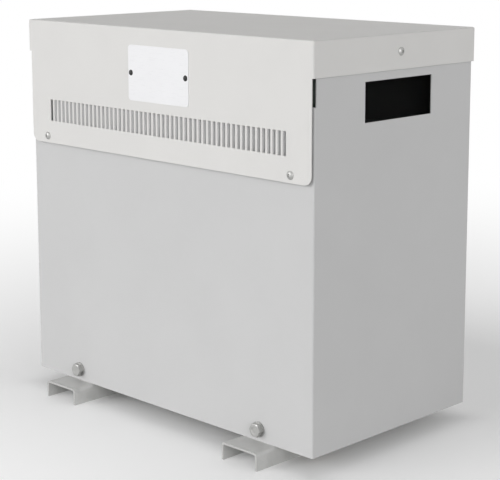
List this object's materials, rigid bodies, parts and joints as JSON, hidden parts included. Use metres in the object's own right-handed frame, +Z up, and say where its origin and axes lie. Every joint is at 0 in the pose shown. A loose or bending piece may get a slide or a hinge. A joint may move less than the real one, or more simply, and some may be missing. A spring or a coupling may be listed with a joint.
{
  "type": "enclosed dry-type three-phase transformer",
  "caption": "Floor-standing dry three-phase transformer in a folded sheet case with a vented hood, a cable window and two channel feet.",
  "frame": {"origin": "on the floor, midway between the case sides and midway along the feet", "axes": "+Z up, -Y towards the vented front, +X towards the side with the cable window"},
  "size_m": [0.571, 0.388, 0.5515],
  "materials": {
    "case_paint": "fine-texture powder coat, light grey",
    "hood_paint": "fine-texture powder coat, warm off-white",
    "galvanised": "galvanised sheet",
    "plate_white": "white coated sheet",
    "rivet_black": "blackened rivets",
    "zinc": "zinc-plated",
    "frame_paint": "dark grey primer",
    "core_steel": "varnished electrical sheet",
    "pressboard": "varnished pressboard",
    "lv_copper": "varnished copper foil",
    "hv_wrap": "impregnated winding tape",
    "rubber_black": "moulded rubber",
    "terminal_green": "moulded polyamide",
    "terminal_grey": "moulded polyamide",
    "brass_plain": "plain brass",
    "lead_red": "silicone-sleeved lead"
  },
  "bodies": {
    "root": {"case_wrap": "case_paint", "rear_panel": "case_paint", "rear_crossbar": "galvanised", "base_tray": "galvanised", "hood": "hood_paint", "nameplate": "plate_white", "nameplate_rivets": "rivet_black", "hood_front_screws": "zinc", "hood_side_screws": "zinc", "skirt_spacers": "zinc", "blind_nuts": "brass_plain", "foot_left": "galvanised", "foot_right": "galvanised", "carrier_bar_left": "frame_paint", "carrier_bar_right": "frame_paint", "base_bolts": "zinc", "base_washers": "zinc", "base_nuts": "zinc", "rear_panel_screws": "zinc", "crossbar_rivets": "zinc", "earth_stud": "brass_plain", "earth_nuts": "brass_plain", "core_pads": "rubber_black", "mounting_bolts": "zinc", "mounting_nuts": "zinc", "lower_yoke": "core_steel", "upper_yoke": "core_steel", "limb_a": "core_steel", "limb_b": "core_steel", "limb_c": "core_steel", "lower_clamp_front": "frame_paint", "lower_clamp_rear": "frame_paint", "upper_clamp_front": "frame_paint", "upper_clamp_rear": "frame_paint", "tie_bolts": "zinc", "tie_bolt_nuts": "zinc", "coil_former_a": "pressboard", "coil_former_b": "pressboard", "coil_former_c": "pressboard", "lv_winding_a": "lv_copper", "lv_winding_b": "lv_copper", "lv_winding_c": "lv_copper", "duct_sticks_a": "pressboard", "duct_sticks_b": "pressboard", "duct_sticks_c": "pressboard", "hv_winding_a": "hv_wrap", "hv_winding_b": "hv_wrap", "hv_winding_c": "hv_wrap", "coil_blocks": "pressboard", "terminal_posts": "frame_paint", "post_screws": "zinc", "terminal_rail": "galvanised", "hv_terminals": "terminal_green", "lv_terminals": "terminal_grey", "hv_leads": "lead_red", "lv_leads": "lv_copper"}
  },
  "joints": []
}
